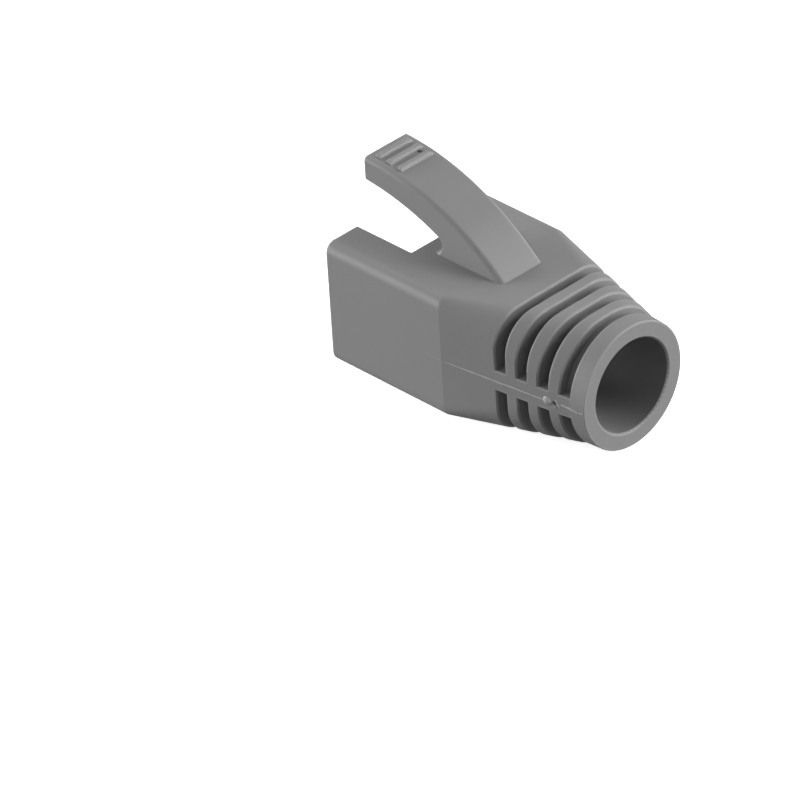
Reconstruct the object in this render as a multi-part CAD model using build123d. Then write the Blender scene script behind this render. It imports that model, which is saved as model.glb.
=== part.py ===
from build123d import *
import os
from math import hypot, sqrt

# Frame: X across the plug, +Y towards the cable exit, +Z up on the latch side.
# Origin: centre of the footprint, on the plane that the hood rests on.
# Places given as "from_mouth" are distances along Y from the mouth of the hood.

# Plug that the socket takes
plug_width = 11.68
plug_clearance = 0.06
socket_height = 8.50
socket_depth = 10.0

# Hood round the socket
side_wall = 1.10
floor_wall = 1.45
roof_wall = 1.10
hood_length = 12.6
top_edge_radius = 0.95
bottom_edge_radius = 0.90
mouth_edge_radius = 0.25

# Opening in the roof for the plug's latch, and the two prongs beside it
notch_width = 6.9
notch_depth = 6.15
notch_corner_radius = 0.1
notch_edge_bevel = 0.08
prong_grip = 0.25
prong_setback = 0.15

# Retaining lip on the floor of the mouth
lip_height = 1.10
lip_land = 0.75
lip_ramp = 1.60
lip_end_gap = 0.45
lip_edge_radius = 0.12

# Tail: tapers from the hood's section into a round collar
tail_length = 14.0
collar_length = 1.55
collar_front_diameter = 11.0
collar_end_diameter = 10.8
collar_flat = 0.1
collar_edge_bevel = 0.30
collar_end_bevel = 0.08
bore_diameter = 8.0
bore_edge_bevel = 0.15
sleeve_wall = 0.75

# Bend-relief grooves over and under the tail, parted by a spine on each side
groove_count = 4
groove_width = 0.92
groove_pitch = 2.05
spine_height = 1.80
rib_edge_bevel = 0.12

# Latch guard: a hollow lever that rises from the roof towards the mouth
lever_width = 4.9
lever_root_width = 4.5
lever_root_from_mouth = 15.0
lever_tip_from_mouth = 0.2
lever_rise = 5.95
lever_bow = 1.5
lever_skirt = 2.15
lever_skirt_bow = 0.38
lever_plate = 0.9
lever_side_wall = 1.0
lever_hollow_from_mouth = 12.0
lever_top_edge_radius = 0.4
lever_tip_edge_radius = 0.18
lever_low_edge_bevel = 0.13
arch_from_mouth = 8.05
arch_foot_from_mouth = 7.55
arch_height = 1.6
arch_bow = 0.6

# Grip ridges across the lever's tip
ridge_count = 3
ridge_pitch = 1.15
ridge_from_mouth = 1.2
ridge_length = 3.5
ridge_width = 0.66
ridge_crown_width = 0.40
ridge_height = 0.24
ridge_crown_height = 0.08
ridge_end_slope = 0.16

socket_width = plug_width + 2 * plug_clearance
hood_width = socket_width + 2 * side_wall
hood_height = floor_wall + socket_height + roof_wall
overall_length = hood_length + tail_length
axis_height = hood_height / 2
sleeve_radius = bore_diameter / 2 + sleeve_wall
mouth_y = -overall_length / 2
shoulder_y = mouth_y + hood_length
end_y = mouth_y + overall_length
collar_y = end_y - collar_length
ceiling_z = hood_height - roof_wall
grooves_start_y = collar_y - (groove_count - 1) * groove_pitch - groove_width
all_round = 2 * hood_width
cut_margin = 1.0
on_plane = 0.001


def block(x_range, y_range, z_range):
    ranges = (x_range, y_range, z_range)
    centre = [(low + high) / 2 for low, high in ranges]
    return Pos(*centre) * Box(*[high - low for low, high in ranges])


def side_point(from_mouth, z):
    return (0, mouth_y + from_mouth, z)


def side_line(*points):
    return Polyline(*[side_point(*p) for p in points])


def side_profile(edges, width):
    # closed outline in the middle plane, spread evenly to both sides
    return extrude(make_face(edges), width / 2, both=True)


def side_polygon(points, width):
    return side_profile(side_line(*points, points[0]), width)


def section(width, height, top_radius, bottom_radius, y):
    outline = Rectangle(width, height)
    outline = fillet(outline.vertices().sort_by(Axis.Y)[2:], top_radius)
    outline = fillet(outline.vertices().sort_by(Axis.Y)[:2], bottom_radius)
    return Plane(origin=(0, y, axis_height), x_dir=(-1, 0, 0), z_dir=(0, 1, 0)) * outline


def hood_section(y):
    return section(hood_width, hood_height, top_edge_radius, bottom_edge_radius, y)


def collar_section(diameter, y):
    corner_radius = (diameter - collar_flat) / 2
    return section(diameter, diameter, corner_radius, corner_radius, y)


def round_bar(radius, y_range):
    low, high = y_range
    return Pos(0, (low + high) / 2, axis_height) * Rot(90, 0, 0) * Cylinder(radius, high - low)


def make_outside():
    # the section is even along the hood, then its corners grow until it is round
    outside = loft([
        hood_section(mouth_y),
        hood_section(shoulder_y),
        collar_section(collar_front_diameter, collar_y),
        collar_section(collar_end_diameter, end_y),
    ], ruled=True)
    outside = fillet(outside.faces().sort_by(Axis.Y)[0].edges(), mouth_edge_radius)
    # two bevels in a row round the collar's rim
    for bevel in (collar_edge_bevel, collar_end_bevel):
        outside = chamfer(outside.faces().sort_by(Axis.Y)[-1].edges(), bevel)
    return outside


def slab(y_range):
    return block((-all_round, all_round), y_range, (-all_round, all_round))


def make_ribs(outside):
    # what is left of the tail between the grooves, ending in the collar
    ribs = []
    for i in range(groove_count):
        front = collar_y - i * groove_pitch
        back = front + groove_pitch - groove_width if i else end_y
        rib = outside & slab((front, back))
        rims = rib.faces().sort_by(Axis.Y)
        rim = rims[0].edges() + rims[-1].edges() if i else rims[0].edges()
        ribs.append(chamfer(rim, rib_edge_bevel))
    return ribs


def make_spines(outside):
    # both spines in one slice of the tail
    z_range = (axis_height - spine_height / 2, axis_height + spine_height / 2)
    return outside & block((-all_round, all_round), (shoulder_y, end_y - collar_length / 2), z_range)


def make_front(outside):
    # the hood with the ungrooved part of the tail
    front = outside & slab((mouth_y, grooves_start_y))
    return chamfer(front.faces().sort_by(Axis.Y)[-1].edges(), rib_edge_bevel)


def make_socket():
    return side_polygon([
        (-cut_margin, floor_wall),
        (socket_depth, floor_wall),
        (socket_depth, ceiling_z),
        (notch_depth, ceiling_z),
        (0, ceiling_z - prong_grip),
        (-cut_margin, ceiling_z - prong_grip),
    ], socket_width)


def make_notch():
    above = (axis_height, hood_height + cut_margin)
    notch = block((-notch_width / 2, notch_width / 2), (mouth_y - cut_margin, mouth_y + notch_depth), above)
    notch = fillet(notch.edges().filter_by(Axis.Z).sort_by(Axis.Y)[-2:], notch_corner_radius)
    half_socket = socket_width / 2
    setback = block((-half_socket, half_socket), (mouth_y - cut_margin, mouth_y + prong_setback), above)
    return notch + setback


def notch_edges(body):
    # the notch's outline on the roof
    def beside_notch(edge):
        middle = edge @ 0.5
        return abs(middle.X) < notch_width / 2 + on_plane and middle.Y < mouth_y + notch_depth + on_plane

    roof = body.edges().filter_by_position(Axis.Z, hood_height - on_plane, hood_height + on_plane)
    return roof.filter_by(beside_notch)


def make_lip():
    root_z = floor_wall / 2
    top_z = floor_wall + lip_height
    lip = side_polygon([
        (0, root_z),
        (0, top_z),
        (lip_land, top_z),
        (lip_land + lip_ramp, floor_wall),
        (lip_land + lip_ramp, root_z),
    ], socket_width - 2 * lip_end_gap)
    return fillet(lip.faces().sort_by(Axis.Z)[-1].edges(), lip_edge_radius)


def bow_centre(start, finish, bow):
    # centre and radius of the arc through two side points that rises by bow between them
    dy, dz = finish[0] - start[0], finish[1] - start[1]
    chord = hypot(dy, dz)
    radius = (chord ** 2 / 4 + bow ** 2) / (2 * bow)
    drop = radius - bow
    middle = ((start[0] + finish[0]) / 2, (start[1] + finish[1]) / 2)
    return (middle[0] + drop * dz / chord, middle[1] - drop * dy / chord), radius


def toward(centre, point, distance):
    dy, dz = point[0] - centre[0], point[1] - centre[1]
    scale = distance / hypot(dy, dz)
    return (centre[0] + dy * scale, centre[1] + dz * scale)


def round_arc(centre, start, finish):
    radius = hypot(start[0] - centre[0], start[1] - centre[1])
    middle = ((start[0] + finish[0]) / 2, (start[1] + finish[1]) / 2)
    crest = toward(centre, middle, radius)
    return ThreePointArc(side_point(*start), side_point(*crest), side_point(*finish))


def bow_arc(start, finish, bow):
    centre, radius = bow_centre(start, finish, bow)
    return round_arc(centre, start, finish)


lever_root = (lever_root_from_mouth, hood_height)
lever_tip = (lever_tip_from_mouth, hood_height + lever_rise)
skirt_tip = (lever_tip_from_mouth, hood_height + lever_rise - lever_skirt)
arch_top = (arch_from_mouth, hood_height + arch_height)
arch_foot = (arch_foot_from_mouth, hood_height)
lever_foot_z = hood_height - roof_wall / 2
lever_centre, lever_radius = bow_centre(lever_tip, lever_root, lever_bow)


def make_lever_side():
    return side_profile([
        round_arc(lever_centre, lever_tip, lever_root),
        side_line(lever_tip, skirt_tip),
        bow_arc(skirt_tip, arch_top, lever_skirt_bow),
        bow_arc(arch_top, arch_foot, arch_bow),
        side_line(arch_foot, (arch_foot[0], lever_foot_z), (lever_root[0], lever_foot_z), lever_root),
    ], lever_width)


def make_lever_plan():
    # the lever narrows from its tip to its root
    half_root, half_tip = lever_root_width / 2, lever_width / 2
    root_y, tip_y = mouth_y + lever_root_from_mouth, mouth_y + lever_tip_from_mouth
    corners = [(-half_root, root_y), (half_root, root_y), (half_tip, tip_y), (-half_tip, tip_y)]
    return extrude(make_face(Polyline(*corners, close=True)), hood_height + lever_rise + lever_skirt)


def make_lever_hollow():
    # runs under the lever's plate, out through the tip and down to the roof
    inner_radius = lever_radius - lever_plate
    front = toward(lever_centre, lever_tip, inner_radius)
    rear_rise = sqrt(inner_radius ** 2 - (lever_hollow_from_mouth - lever_centre[0]) ** 2)
    rear = (lever_hollow_from_mouth, lever_centre[1] + rear_rise)
    return side_profile([
        round_arc(lever_centre, front, rear),
        side_line(rear, (lever_hollow_from_mouth, hood_height), (-cut_margin, hood_height),
                  (-cut_margin, front[1]), front),
    ], lever_width - 2 * lever_side_wall)


def make_ridges():
    ridges = []
    for i in range(ridge_count):
        y = ridge_from_mouth + i * ridge_pitch
        z = lever_centre[1] + sqrt(lever_radius ** 2 - (y - lever_centre[0]) ** 2)
        half, half_crown = ridge_width / 2, ridge_crown_width / 2
        ridge = side_polygon([
            (y - half, z - lever_plate / 2),
            (y - half, z + ridge_crown_height),
            (y - half_crown, z + ridge_height),
            (y + half_crown, z + ridge_height),
            (y + half, z + ridge_crown_height),
            (y + half, z - lever_plate / 2),
        ], ridge_length)
        crown = ridge.faces().sort_by(Axis.Z)[-1]
        ridges.append(chamfer(crown.edges().filter_by(Axis.Y), ridge_end_slope))
    return ridges


def skirt_edges(lever):
    # both sides' lower edges, along the skirt and round the arch
    edges = []
    for bow in lever.faces().filter_by(GeomType.CYLINDER):
        lowest = bow.center().Z < lever_tip[1] - lever_skirt
        if lowest and bow.bounding_box().size.X > lever_root_width / 2:
            edges += [e for e in bow.edges() if abs((e @ 0.5).X) > lever_root_width / 4]
    return edges


def make_lever():
    lever = make_lever_side() & make_lever_plan()
    top = lever.faces().filter_by(GeomType.CYLINDER).sort_by(SortBy.AREA)[-1]
    lever = fillet(top.edges().sort_by(SortBy.LENGTH)[-2:], lever_top_edge_radius)
    lever = chamfer(skirt_edges(lever), lever_low_edge_bevel)
    lever -= make_lever_hollow()
    tip_y = mouth_y + lever_tip_from_mouth
    tip = lever.edges().filter_by_position(Axis.Y, tip_y - on_plane, tip_y + on_plane)
    lever = fillet(tip, lever_tip_edge_radius)
    return lever + make_ridges()


outside = make_outside()
front = make_front(outside) - make_socket() - make_notch()
front = chamfer(notch_edges(front), notch_edge_bevel)
body = front + [*make_ribs(outside), make_spines(outside), round_bar(sleeve_radius, (shoulder_y, end_y))]
body -= round_bar(bore_diameter / 2, (mouth_y + socket_depth - cut_margin, end_y + cut_margin))
end_edges = body.faces().sort_by(Axis.Y)[-1].edges().filter_by(GeomType.CIRCLE)
body = chamfer(end_edges.sort_by(SortBy.RADIUS)[0], bore_edge_bevel)
body += [make_lip(), make_lever()]
os.makedirs("parts", exist_ok=True)
export_step(body, "parts/boot.step")
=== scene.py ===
import bmesh
import bpy
from math import copysign, cos, radians, sin
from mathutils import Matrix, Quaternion, Vector, noise
from mathutils.bvhtree import BVHTree


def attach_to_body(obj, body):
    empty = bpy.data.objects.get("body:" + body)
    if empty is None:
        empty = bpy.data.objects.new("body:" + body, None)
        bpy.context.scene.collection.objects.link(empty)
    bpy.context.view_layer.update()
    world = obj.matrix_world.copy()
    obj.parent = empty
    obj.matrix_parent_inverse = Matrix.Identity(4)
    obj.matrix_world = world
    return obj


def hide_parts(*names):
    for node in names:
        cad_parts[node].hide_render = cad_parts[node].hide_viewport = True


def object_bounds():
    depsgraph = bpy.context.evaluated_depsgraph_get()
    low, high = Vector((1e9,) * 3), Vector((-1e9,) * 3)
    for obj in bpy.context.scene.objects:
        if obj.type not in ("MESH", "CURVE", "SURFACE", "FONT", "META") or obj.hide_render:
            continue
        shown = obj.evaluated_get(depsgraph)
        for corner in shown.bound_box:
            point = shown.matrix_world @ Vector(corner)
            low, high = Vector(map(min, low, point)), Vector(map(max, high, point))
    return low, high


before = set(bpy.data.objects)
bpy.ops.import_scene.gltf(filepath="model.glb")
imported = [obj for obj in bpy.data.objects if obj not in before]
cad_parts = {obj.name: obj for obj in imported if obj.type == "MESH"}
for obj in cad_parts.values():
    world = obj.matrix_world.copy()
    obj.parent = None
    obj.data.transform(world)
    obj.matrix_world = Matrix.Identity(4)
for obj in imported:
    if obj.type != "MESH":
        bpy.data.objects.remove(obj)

cadLow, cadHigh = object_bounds()
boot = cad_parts["boot"]
mouthY = cadLow.y
print("frame loaded")


# helpers for building material and geometry nodes
def newMaterial(name):
    material = bpy.data.materials.new(name)
    material.use_nodes = True
    material.node_tree.nodes.clear()
    return material


def addNode(tree, kind, values=None, **settings):
    node = tree.nodes.new(kind)
    for key, value in settings.items():
        setattr(node, key, value)
    for key, value in (values or {}).items():
        node.inputs[key].default_value = value
    return node


def join(tree, source, outName, target, inName):
    tree.links.new(source.outputs[outName], target.inputs[inName])


def mathNode(tree, operation, *sides):
    # each side is a number, or an output socket
    node = addNode(tree, "ShaderNodeMath", operation=operation)
    for i, side in enumerate(sides):
        if isinstance(side, (int, float)):
            node.inputs[i].default_value = side
        else:
            tree.links.new(side, node.inputs[i])
    return node.outputs[0]


def rangeNode(tree, value, fromRange, toRange):
    node = addNode(tree, "ShaderNodeMapRange", {
        "From Min": fromRange[0], "From Max": fromRange[1],
        "To Min": toRange[0], "To Max": toRange[1],
    })
    tree.links.new(value, node.inputs["Value"])
    return node.outputs[0]


def noiseNode(tree, scale, detail, **settings):
    return addNode(tree, "ShaderNodeTexNoise", {"Scale": scale, "Detail": detail}, **settings)


def mixColours(tree, factor, first, second):
    # each colour is a tuple, or an output socket; 6 and 7 are the node's sockets for colours
    node = addNode(tree, "ShaderNodeMix", data_type="RGBA")
    tree.links.new(factor, node.inputs[0])
    for i, side in ((6, first), (7, second)):
        if isinstance(side, tuple):
            node.inputs[i].default_value = side
        else:
            tree.links.new(side, node.inputs[i])
    return node.outputs[2]


# the soft PVC of the moulding: even mid grey, satin, with a fine spark-eroded skin
softPvc = {
    "colour": (0.198, 0.198, 0.199, 1.0),
    "paleColour": (0.222, 0.222, 0.223, 1.0),
    # the paler edge colour is a painted highlight along the edges, with some rubbing
    "rubAndHighlightColour": (0.315, 0.315, 0.315, 1.0),    # on the edges
    # painted shade, darkening the colour in the grooves and creases
    "paintedShadeColour": (0.100, 0.100, 0.101, 1.0),     # deep in the grooves and creases
    "cloudScale": 240.0,
    "cloudDetail": 3.0,
    "mottleScale": 2600.0,
    "mottleDetail": 2.0,
    "mottleRange": (0.3, 0.7),                     # of the noise, spread over the roughness
    "edgeRounding": 0.00009,
    "rubAndHighlightDistance": 0.00022,
    "rubAndHighlightRange": (0.97, 0.55),
    "paintedShadeReach": 0.0010,
    "paintedShadeRange": (0.12, 0.58),
    "paintedShadeShare": 0.5,
    "raySamples": 6,
    "roughness": (0.48, 0.58),
    "grainScale": 7000.0,
    "grainDetail": 2.0,
    "grainDepth": 0.000010,
    "grainStrength": 0.5,
}
plasticIor = 1.5


def makeSoftPvc(name, shade):
    colour, paleColour, rubAndHighlightColour, paintedShadeColour = (
        tuple(c * shade for c in softPvc[tone][:3]) + (1.0,)
        for tone in ("colour", "paleColour", "rubAndHighlightColour", "paintedShadeColour"))
    material = newMaterial(name)
    tree = material.node_tree
    place = addNode(tree, "ShaderNodeTexCoord")
    clouds = noiseNode(tree, softPvc["cloudScale"], softPvc["cloudDetail"])
    mottle = noiseNode(tree, softPvc["mottleScale"], softPvc["mottleDetail"])
    grain = noiseNode(tree, softPvc["grainScale"], softPvc["grainDetail"])
    for pattern in (clouds, mottle, grain):
        join(tree, place, "Object", pattern, "Vector")
    both = mathNode(tree, "ADD", clouds.outputs[0], mottle.outputs[0])
    tone = mixColours(tree, mathNode(tree, "MULTIPLY", both, 0.5), colour, paleColour)

    # paler edges, a painted highlight along the edges with some rubbing: thin places, where a
    # short ray into the plastic comes out again, get the paler colour
    thinness = addNode(tree, "ShaderNodeAmbientOcclusion", {"Distance": softPvc["rubAndHighlightDistance"]},
                       samples=softPvc["raySamples"], only_local=True, inside=True)
    rubAndHighlight = rangeNode(tree, thinness.outputs["AO"], softPvc["rubAndHighlightRange"], (0.0, 1.0))
    tone = mixColours(tree, rubAndHighlight, tone, rubAndHighlightColour)

    # painted shade: the colour is darker where little light gets in, in the grooves and creases
    openness = addNode(tree, "ShaderNodeAmbientOcclusion", {"Distance": softPvc["paintedShadeReach"]},
                       samples=softPvc["raySamples"], only_local=True)
    paintedShade = rangeNode(tree, openness.outputs["AO"], softPvc["paintedShadeRange"],
                      (softPvc["paintedShadeShare"], 0.0))
    tone = mixColours(tree, paintedShade, tone, paintedShadeColour)

    bump = addNode(tree, "ShaderNodeBump", {"Strength": softPvc["grainStrength"],
                                            "Distance": softPvc["grainDepth"]})
    join(tree, grain, "Fac", bump, "Height")
    rounded = addNode(tree, "ShaderNodeBevel", {"Radius": softPvc["edgeRounding"]},
                      samples=softPvc["raySamples"])
    join(tree, rounded, "Normal", bump, "Normal")
    skin = addNode(tree, "ShaderNodeBsdfPrincipled", {"IOR": plasticIor})
    out = addNode(tree, "ShaderNodeOutputMaterial")
    tree.links.new(tone, skin.inputs["Base Color"])
    gloss = rangeNode(tree, mottle.outputs[0], softPvc["mottleRange"], softPvc["roughness"])
    tree.links.new(gloss, skin.inputs["Roughness"])
    join(tree, bump, "Normal", skin, "Normal")
    join(tree, skin, "BSDF", out, "Surface")
    return material


def attach(piece):
    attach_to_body(piece, "root")


def showPiece(name, data):
    piece = bpy.data.objects.new(name, data)
    bpy.context.scene.collection.objects.link(piece)
    return piece


# the collar's outer end edge is tighter on the real moulding than in the CAD model
collarEdge = {
    "reach": 0.00031,           # how far from the collar's end the edge starts
    "cornerRadius": 0.005425,
    "axisHeight": 0.005525,
    "innermost": 0.0048,
    "tighten": 0.16,            # share of the edge that is left
}


def fromAxis(place):
    return Vector((place.x, 0, place.z - collarEdge["axisHeight"]))


def tightened(place):
    depth = cadHigh.y - place.y
    across = fromAxis(place)
    if depth > collarEdge["reach"] or across.length < collarEdge["innermost"]:
        return place
    missing = collarEdge["cornerRadius"] - across.length
    radius = collarEdge["cornerRadius"] - missing * collarEdge["tighten"]
    across = across.normalized() * radius
    return Vector((across.x, cadHigh.y - depth * collarEdge["tighten"],
                   across.z + collarEdge["axisHeight"]))


# painted shade: inside the bore and the socket the moulding gets a darker copy of its colour
insideShade = {
    "shade": 0.74,
    "boreRadius": 0.00407,
    "socketDepth": 0.0101,
    "halfWidth": 0.00592,
    "low": 0.00143,
    "high": 0.00998,
    "behindMouth": 0.0003,
}


def isInside(place):
    fromMouth = place.y - mouthY
    if fromMouth > insideShade["socketDepth"]:
        return fromAxis(place).length < insideShade["boreRadius"]
    return (fromMouth > insideShade["behindMouth"] and abs(place.x) < insideShade["halfWidth"]
            and insideShade["low"] < place.z < insideShade["high"])


cornerGrid = 1e7    # corners that agree to a tenth of a micrometre are one


def makeMoulding():
    # the CAD node's triangles, joined at their corners, with their own normals kept
    source = boot.data
    numbers, places, faces, normals = {}, [], [], []
    for face in source.polygons:
        corners = []
        for index in face.vertices:
            place = boot.matrix_world @ source.vertices[index].co
            key = tuple(round(c * cornerGrid) for c in place)
            if key not in numbers:
                numbers[key] = len(places)
                places.append(tightened(place))
            corners.append(numbers[key])
        if len(set(corners)) == len(corners):
            faces.append(corners)
            normals += [source.corner_normals[i].vector.copy() for i in face.loop_indices]
    data = bpy.data.meshes.new("moulding")
    data.from_pydata(places, [], faces)
    data.shade_smooth()
    data.normals_split_custom_set(normals)
    data.materials.append(makeSoftPvc("softGreyPvc", 1.0))
    # a darker copy of the same PVC for the inside: painted shade
    data.materials.append(makeSoftPvc("shadedInsidePvc", insideShade["shade"]))
    for face in data.polygons:
        face.material_index = int(isInside(face.center))
    piece = showPiece("moulding", data)
    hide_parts("boot")
    attach(piece)
    print("moulding made,", len(places), "points,", len(faces), "faces")
    return piece


moulding = makeMoulding()


def makeGrainyPlastic(name, look):
    # two tones in fine noise, with the same noise in the surface
    material = newMaterial(name)
    tree = material.node_tree
    place = addNode(tree, "ShaderNodeTexCoord")
    streaks = noiseNode(tree, look["grainScale"], look["grainDetail"])
    join(tree, place, "Object", streaks, "Vector")
    bump = addNode(tree, "ShaderNodeBump", {"Strength": look["grainStrength"],
                                            "Distance": look["grainDepth"]})
    join(tree, streaks, "Fac", bump, "Height")
    skin = addNode(tree, "ShaderNodeBsdfPrincipled", {"Roughness": look["roughness"],
                                                      "IOR": plasticIor})
    out = addNode(tree, "ShaderNodeOutputMaterial")
    tone = mixColours(tree, streaks.outputs[0], look["colour"], look["paleColour"])
    tree.links.new(tone, skin.inputs["Base Color"])
    join(tree, bump, "Normal", skin, "Normal")
    join(tree, skin, "BSDF", out, "Surface")
    return material


# torn plastic of the flash and the gate: the same PVC, stretched pale
tornPvc = {
    "colour": (0.270, 0.270, 0.271, 1.0),
    "paleColour": (0.400, 0.400, 0.400, 1.0),
    "grainScale": 5200.0,
    "grainDetail": 3.0,
    "grainDepth": 0.000012,
    "grainStrength": 0.6,
    "roughness": 0.5,
}
# dark specks in the skin; the one in the scar's hollow is painted shade of the pit there
darkSpeckPvc = {
    "colour": (0.022, 0.022, 0.023, 1.0),
    "paleColour": (0.060, 0.060, 0.061, 1.0),
    "grainScale": 9000.0,
    "grainDetail": 3.0,
    "grainDepth": 0.000008,
    "grainStrength": 0.6,
    "roughness": 0.55,
}
tornMaterial = makeGrainyPlastic("tornGreyPvc", tornPvc)
darkSpeckMaterial = makeGrainyPlastic("darkSpeckPvc", darkSpeckPvc)


# geometry nodes: a thread of plastic that follows the skin
def newTree(name, inputs):
    # inputs holds the socket type and the default value of each label
    tree = bpy.data.node_groups.new(name, "GeometryNodeTree")
    sockets = tree.interface
    sockets.new_socket(name="Geometry", in_out="INPUT", socket_type="NodeSocketGeometry")
    for label, (kind, value) in inputs.items():
        socket = sockets.new_socket(name=label, in_out="INPUT", socket_type="NodeSocket" + kind)
        if value is not None:
            socket.default_value = value
    sockets.new_socket(name="Geometry", in_out="OUTPUT", socket_type="NodeSocketGeometry")
    return tree, tree.nodes.new("NodeGroupInput").outputs, tree.nodes.new("NodeGroupOutput")


def growMesh(name, tree, values):
    # runs the tree on an empty mesh and keeps the result as a plain mesh
    holder = showPiece(name + "Holder", bpy.data.meshes.new(name + "Holder"))
    modifier = holder.modifiers.new("grow", "NODES")
    modifier.node_group = tree
    for item in tree.interface.items_tree:
        if item.in_out == "INPUT" and item.name in values:
            modifier[item.identifier] = values[item.name]
    bpy.context.view_layer.update()
    evaluated = holder.evaluated_get(bpy.context.evaluated_depsgraph_get())
    mesh = bpy.data.meshes.new_from_object(evaluated)
    bpy.data.objects.remove(holder)
    return mesh


# the same for every thread; each one's own sizes are the tree's inputs
threadBuild = {
    "wanderScale": 420.0,
    "swellScale": 1500.0,
    "noiseDetail": 3.0,
    "swellRange": (0.35, 0.65),    # of the noise, from the thinnest to the full width
    "throw": 0.02,                 # how far a point may be thrown to reach the skin
    "sides": 8,
}


def makeThreadTree():
    tree, given, out = newTree("threadOnSkin", {
        "surface": ("Object", None), "start": ("Vector", None), "end": ("Vector", None),
        "inward": ("Vector", None), "width": ("Float", 0.0001), "sink": ("Float", 0.00001),
        "drift": ("Float", 0.0001), "thinnest": ("Float", 0.4), "fadeLength": ("Float", 0.002),
        "fadeLeast": ("Float", 0.3), "steps": ("Int", 100), "seed": ("Float", 0.0),
        "material": ("Material", None),
    })

    def feed(label, node, socket):
        tree.links.new(given[label], node.inputs[socket])

    line = addNode(tree, "GeometryNodeCurvePrimitiveLine", mode="POINTS")
    feed("start", line, "Start")
    feed("end", line, "End")
    points = addNode(tree, "GeometryNodeResampleCurve", mode="COUNT")
    join(tree, line, "Curve", points, "Curve")
    feed("steps", points, "Count")

    # the line wanders a little up and down, then is thrown onto the skin
    wander = noiseNode(tree, threadBuild["wanderScale"], threadBuild["noiseDetail"],
                       noise_dimensions="4D")
    feed("seed", wander, "W")
    centred = mathNode(tree, "SUBTRACT", wander.outputs[0], 0.5)
    offset = addNode(tree, "ShaderNodeCombineXYZ")
    tree.links.new(mathNode(tree, "MULTIPLY", centred, given["drift"]), offset.inputs["Z"])
    wavy = addNode(tree, "GeometryNodeSetPosition")
    join(tree, points, "Curve", wavy, "Geometry")
    join(tree, offset, "Vector", wavy, "Offset")
    skin = addNode(tree, "GeometryNodeObjectInfo", transform_space="RELATIVE")
    feed("surface", skin, "Object")
    hit = addNode(tree, "GeometryNodeRaycast", {"Ray Length": threadBuild["throw"]})
    join(tree, skin, "Geometry", hit, "Target Geometry")
    feed("inward", hit, "Ray Direction")
    sunk = addNode(tree, "ShaderNodeVectorMath", operation="SCALE")
    feed("inward", sunk, "Vector")
    feed("sink", sunk, "Scale")
    laid = addNode(tree, "GeometryNodeSetPosition")
    join(tree, wavy, "Geometry", laid, "Geometry")
    join(tree, hit, "Hit Position", laid, "Position")
    join(tree, sunk, "Vector", laid, "Offset")

    # the thread swells and thins, and fades at its start
    swell = noiseNode(tree, threadBuild["swellScale"], threadBuild["noiseDetail"],
                      noise_dimensions="4D")
    feed("seed", swell, "W")
    least, most = threadBuild["swellRange"]
    amount = addNode(tree, "ShaderNodeMapRange", {"From Min": least, "From Max": most,
                                                  "To Max": 1.0})
    join(tree, swell, "Fac", amount, "Value")
    feed("thinnest", amount, "To Min")
    along = addNode(tree, "GeometryNodeSplineParameter")
    fade = addNode(tree, "ShaderNodeMapRange", {"To Max": 1.0})
    join(tree, along, "Length", fade, "Value")
    feed("fadeLength", fade, "From Max")
    feed("fadeLeast", fade, "To Min")
    weight = mathNode(tree, "MULTIPLY", fade.outputs[0], amount.outputs[0])
    half = mathNode(tree, "MULTIPLY", given["width"], 0.5)
    upright = addNode(tree, "GeometryNodeSetCurveNormal", mode="Z_UP")
    join(tree, laid, "Geometry", upright, "Curve")
    ring = addNode(tree, "GeometryNodeCurvePrimitiveCircle",
                   {"Resolution": threadBuild["sides"], "Radius": 1.0}, mode="RADIUS")
    thread = addNode(tree, "GeometryNodeCurveToMesh", {"Fill Caps": True})
    join(tree, upright, "Curve", thread, "Curve")
    join(tree, ring, "Curve", thread, "Profile Curve")
    tree.links.new(mathNode(tree, "MULTIPLY", weight, half), thread.inputs["Scale"])
    smooth = addNode(tree, "GeometryNodeSetShadeSmooth")
    join(tree, thread, "Mesh", smooth, "Geometry")
    whole = addNode(tree, "GeometryNodeRealizeInstances")
    join(tree, smooth, "Geometry", whole, "Geometry")
    paint = addNode(tree, "GeometryNodeSetMaterial")
    join(tree, whole, "Geometry", paint, "Geometry")
    feed("material", paint, "Material")
    join(tree, paint, "Geometry", out, "Geometry")
    return tree


def layThread(name, start, end, inward, look):
    given = {"surface": moulding, "start": start, "end": end, "inward": inward,
             "material": tornMaterial}
    for key in ("width", "sink", "drift", "thinnest", "fadeLength", "fadeLeast", "steps", "seed"):
        given[key] = look[key]
    mesh = growMesh(name, threadTree, given)
    attach(showPiece(name, mesh))
    print(name, "laid,", len(mesh.polygons), "faces")


threadTree = makeThreadTree()

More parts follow.
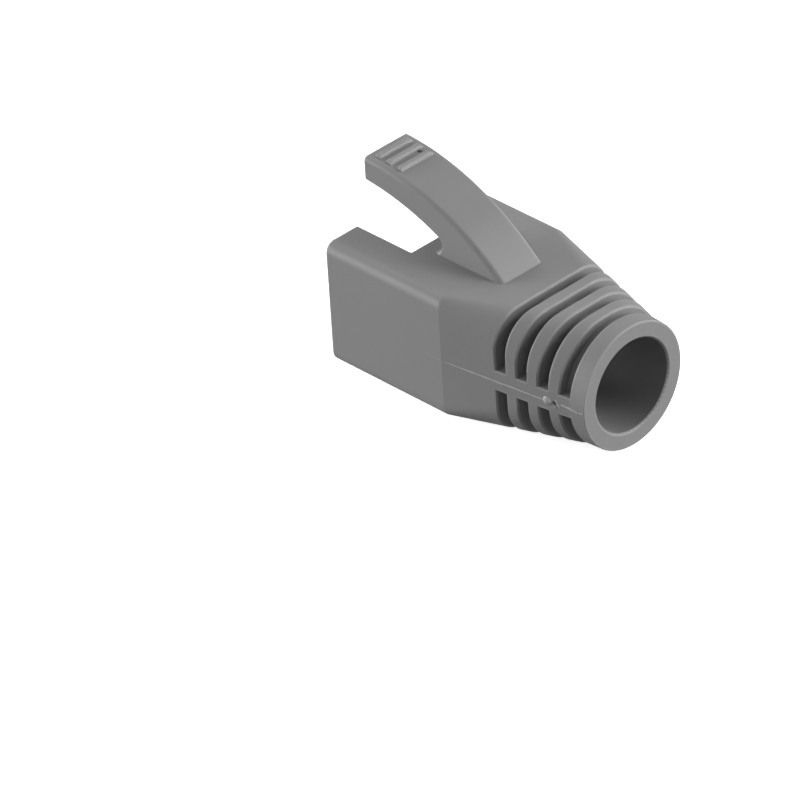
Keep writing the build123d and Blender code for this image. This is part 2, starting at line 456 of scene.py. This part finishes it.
# flash on the parting line, on both sides of the moulding
# start and end are the distance from the mouth and the height; side is 1 for +X, -1 for -X
partingFlash = {
    "flashNear": {
        "side": 1.0, "start": (0.01035, 0.00538), "end": (0.02290, 0.00545),
        "width": 0.00019, "sink": 0.00004, "drift": 0.00012, "thinnest": 0.65,
        "fadeLength": 0.0065, "fadeLeast": 0.44, "steps": 170, "seed": 3.1,
    },
    "flashTornUp": {
        "side": 1.0, "start": (0.02372, 0.00582), "end": (0.02418, 0.00531),
        "width": 0.00027, "sink": 0.00008, "drift": 0.00006, "thinnest": 0.85,
        "fadeLength": 0.0001, "fadeLeast": 0.5, "steps": 12, "seed": 5.2,
    },
    "flashTorn": {
        "side": 1.0, "start": (0.02428, 0.00557), "end": (0.02590, 0.00543),
        "width": 0.00029, "sink": 0.00006, "drift": 0.00014, "thinnest": 0.60,
        "fadeLength": 0.0001, "fadeLeast": 0.8, "steps": 32, "seed": 9.4,
    },
    "flashRim": {
        "side": 1.0, "start": (0.02592, 0.00545), "end": (0.02646, 0.00555),
        "width": 0.00021, "sink": 0.00006, "drift": 0.00006, "thinnest": 0.75,
        "fadeLength": 0.0002, "fadeLeast": 0.6, "steps": 8, "seed": 2.6,
    },
    "flashFar": {
        "side": -1.0, "start": (0.01180, 0.00550), "end": (0.02630, 0.00548),
        "width": 0.00014, "sink": 0.00004, "drift": 0.00012, "thinnest": 0.5,
        "fadeLength": 0.0050, "fadeLeast": 0.5, "steps": 190, "seed": 8.7,
    },
}
flashStandOff = 0.01    # from the middle, outside the hood
for name, look in partingFlash.items():
    start, end = (Vector((look["side"] * flashStandOff, mouthY + y, z))
                  for y, z in (look["start"], look["end"]))
    layThread(name, start, end, Vector((-look["side"], 0, 0)), look)

# small lumps and specks that sit on the skin
bootSkin = BVHTree.FromObject(moulding, bpy.context.evaluated_depsgraph_get())
clearOf = {"side": 0.02, "top": 0.05}    # where a point starts on its way to the skin


def skinAt(fromMouth, height, side):
    # place and outward normal on a side wall
    outside = Vector((side * clearOf["side"], mouthY + fromMouth, height))
    return bootSkin.ray_cast(outside, Vector((-side, 0, 0)))[:2]


def skinAbove(x, fromMouth):
    above = Vector((x, mouthY + fromMouth, clearOf["top"]))
    return bootSkin.ray_cast(above, Vector((0, 0, -1)))[:2]


lumpBuild = {"subdivisions": 4, "falloff": 1.0, "lacunarity": 2.0, "octaves": 3}


def addLump(mesh, place, outward, look):
    # a squarish blob, roughened by noise: half sizes are along the normal, along Y and across
    across = outward.cross(Vector((0, 1, 0))).normalized()
    along = across.cross(outward)
    seed = Vector((look["seed"], 0, 0))
    rise, length, width = look["half"]
    ball = bmesh.ops.create_icosphere(mesh, subdivisions=lumpBuild["subdivisions"], radius=1.0)
    for vertex in ball["verts"]:
        spot = vertex.co.normalized()
        square = Vector([copysign(abs(c) ** look["squareness"], c) for c in spot])
        unevenness = noise.fractal(spot * look["grain"] + seed, lumpBuild["falloff"],
                                   lumpBuild["lacunarity"], lumpBuild["octaves"])
        local = square * (1.0 + look["roughness"] * unevenness)
        vertex.co = (place + outward * (local.x * rise) + along * (local.y * length)
                     + across * (local.z * width))


def finishLumps(name, mesh, material):
    data = bpy.data.meshes.new(name)
    bmesh.ops.recalc_face_normals(mesh, faces=mesh.faces)
    mesh.to_mesh(data)
    mesh.free()
    data.shade_smooth()
    data.materials.append(material)
    attach(showPiece(name, data))
    print(name, "made,", len(data.polygons), "faces")


# the scar of the gate, where the runner was torn off: each lump is at a distance from the mouth
# and a height
gateScar = {
    "stub": {
        "at": (0.02290, 0.00550), "half": (0.00012, 0.00033, 0.00037),
        "squareness": 1.0, "roughness": 0.12, "grain": 1.4, "seed": 4.3,
    },
    "shoulder": {
        "at": (0.02308, 0.00554), "half": (0.00010, 0.00040, 0.00031),
        "squareness": 1.0, "roughness": 0.10, "grain": 1.4, "seed": 1.7,
    },
    "crumb": {
        "at": (0.02369, 0.00517), "half": (0.00005, 0.00011, 0.00008),
        "squareness": 0.9, "roughness": 0.3, "grain": 1.5, "seed": 7.9,
    },
    "fleck": {
        "at": (0.01830, 0.00537), "half": (0.00004, 0.00030, 0.00007),
        "squareness": 0.9, "roughness": 0.3, "grain": 1.5, "seed": 6.1,
    },
}
scarMesh = bmesh.new()
for look in gateScar.values():
    place, outward = skinAt(*look["at"], 1.0)
    addLump(scarMesh, place, outward, look)
finishLumps("gateScar", scarMesh, tornMaterial)

# dark specks in the skin: one in the scar's hollow, painted shade of the pit there, and one
# between the grip ridges
specks = {
    "scarHollow": {
        "place": skinAt(0.02367, 0.00554, 1.0), "half": (0.000012, 0.00015, 0.00017),
        "squareness": 0.9, "roughness": 0.35, "grain": 1.4, "seed": 3.6,
    },
    "leverSpeck": {
        "place": skinAbove(-0.00121, 0.00285), "half": (0.000014, 0.00016, 0.00019),
        "squareness": 0.9, "roughness": 0.3, "grain": 1.4, "seed": 5.8,
    },
}
speckMesh = bmesh.new()
for look in specks.values():
    place, outward = look["place"]
    addLump(speckMesh, place, outward, look)
finishLumps("burntSpecks", speckMesh, darkSpeckMaterial)

# pale floor, just under the plane that the hood rests on
floorLook = {
    "size": 2.0,
    "colour": (0.95, 0.95, 0.95, 1.0),
    "roughness": 0.9,
    "glow": 0.8,
    "drop": 0.00002,
}


def makeFloor():
    height = cadLow.z - floorLook["drop"]
    bpy.ops.mesh.primitive_plane_add(size=floorLook["size"], location=(0, 0, height))
    floor = bpy.context.object
    floor.name = "floor"
    material = newMaterial("paleFloor")
    tree = material.node_tree
    paint = addNode(tree, "ShaderNodeBsdfPrincipled", {
        "Base Color": floorLook["colour"], "Roughness": floorLook["roughness"],
        "Emission Color": floorLook["colour"], "Emission Strength": floorLook["glow"],
    })
    out = addNode(tree, "ShaderNodeOutputMaterial")
    join(tree, paint, "BSDF", out, "Surface")
    floor.data.materials.append(material)
    floor.visible_diffuse = False     # keeps the floor's bounce off the sides
    floor.visible_glossy = False


makeFloor()

# directions are seen from the boot: azimuth 0 is the mouth's side, 90 is +X
# elevation is above the floor
studioLights = {
    "frontStrip": {"azimuth": 33, "elevation": 7, "size": 0.32, "power": 2.85},
    "frontFill": {"azimuth": 33, "elevation": 7, "size": 0.32, "power": 2.40},
    "mouthSoftbox": {"azimuth": -20, "elevation": 25, "size": 0.25, "power": 0.65},
    "overheadFront": {"azimuth": 0, "elevation": 55, "size": 0.25, "power": 0.15},
    "overheadSide": {"azimuth": 95, "elevation": 50, "size": 0.35, "power": 0.20},
    "cableSoftbox": {"azimuth": 215, "elevation": 29, "size": 0.25, "power": 0.95},
    "cableFill": {"azimuth": 215, "elevation": 29, "size": 0.25, "power": 1.05},
    "cableStrip": {"azimuth": 215, "elevation": 5, "size": 0.25, "power": 2.10},
    "rearSoftbox": {"azimuth": 260, "elevation": 25, "size": 0.25, "power": 0.75},
    "edgeCard": {"azimuth": 137, "elevation": 4, "size": 0.25, "power": 2.2},
}
highlightsOnly = ("edgeCard",)                # seen in the shine of rounded edges
noHighlights = ("frontFill", "cableFill")     # light the faces, without glare along them
lightDistance = 0.5
roomLight = {"colour": (1.0, 1.0, 1.0, 1.0), "strength": 0.20}


def direction(azimuth, elevation):
    a, e = radians(azimuth), radians(elevation)
    return Vector((sin(a) * cos(e), -cos(a) * cos(e), sin(e)))


def makeLights():
    for name, look in studioLights.items():
        lamp = bpy.data.lights.new(name, "AREA")
        lamp.energy = look["power"]
        lamp.size = look["size"]
        holder = showPiece(name, lamp)
        back = direction(look["azimuth"], look["elevation"])
        holder.location = back * lightDistance
        holder.visible_diffuse = name not in highlightsOnly
        holder.visible_glossy = name not in noHighlights
        holder.rotation_mode = "QUATERNION"
        holder.rotation_quaternion = (-back).to_track_quat("-Z", "Y")


makeLights()
world = bpy.data.worlds.new("studio")
bpy.context.scene.world = world
world.use_nodes = True
background = world.node_tree.nodes["Background"]
background.inputs["Color"].default_value = roomLight["colour"]
background.inputs["Strength"].default_value = roomLight["strength"]
bpy.context.scene.view_settings.view_transform = "Standard"
print("studio lit")

# the camera stands where the photographer's did, a long lens from the cable end
cameraView = {
    "aim": (0.007477, -0.005204, 0.0),
    "azimuth": 137.258,
    "elevation": 33.439,
    "roll": -3.716,
    "distance": 0.62965,
    "lens": 360.0,
}


def makeCamera():
    camera = bpy.data.cameras.new("camera")
    camera.lens = cameraView["lens"]
    holder = showPiece("camera", camera)
    back = direction(cameraView["azimuth"], cameraView["elevation"])
    holder.location = Vector(cameraView["aim"]) + back * cameraView["distance"]
    holder.rotation_mode = "QUATERNION"
    level = (-back).to_track_quat("-Z", "Y")
    holder.rotation_quaternion = level @ Quaternion((0, 0, 1), radians(cameraView["roll"]))
    bpy.context.scene.camera = holder


makeCamera()
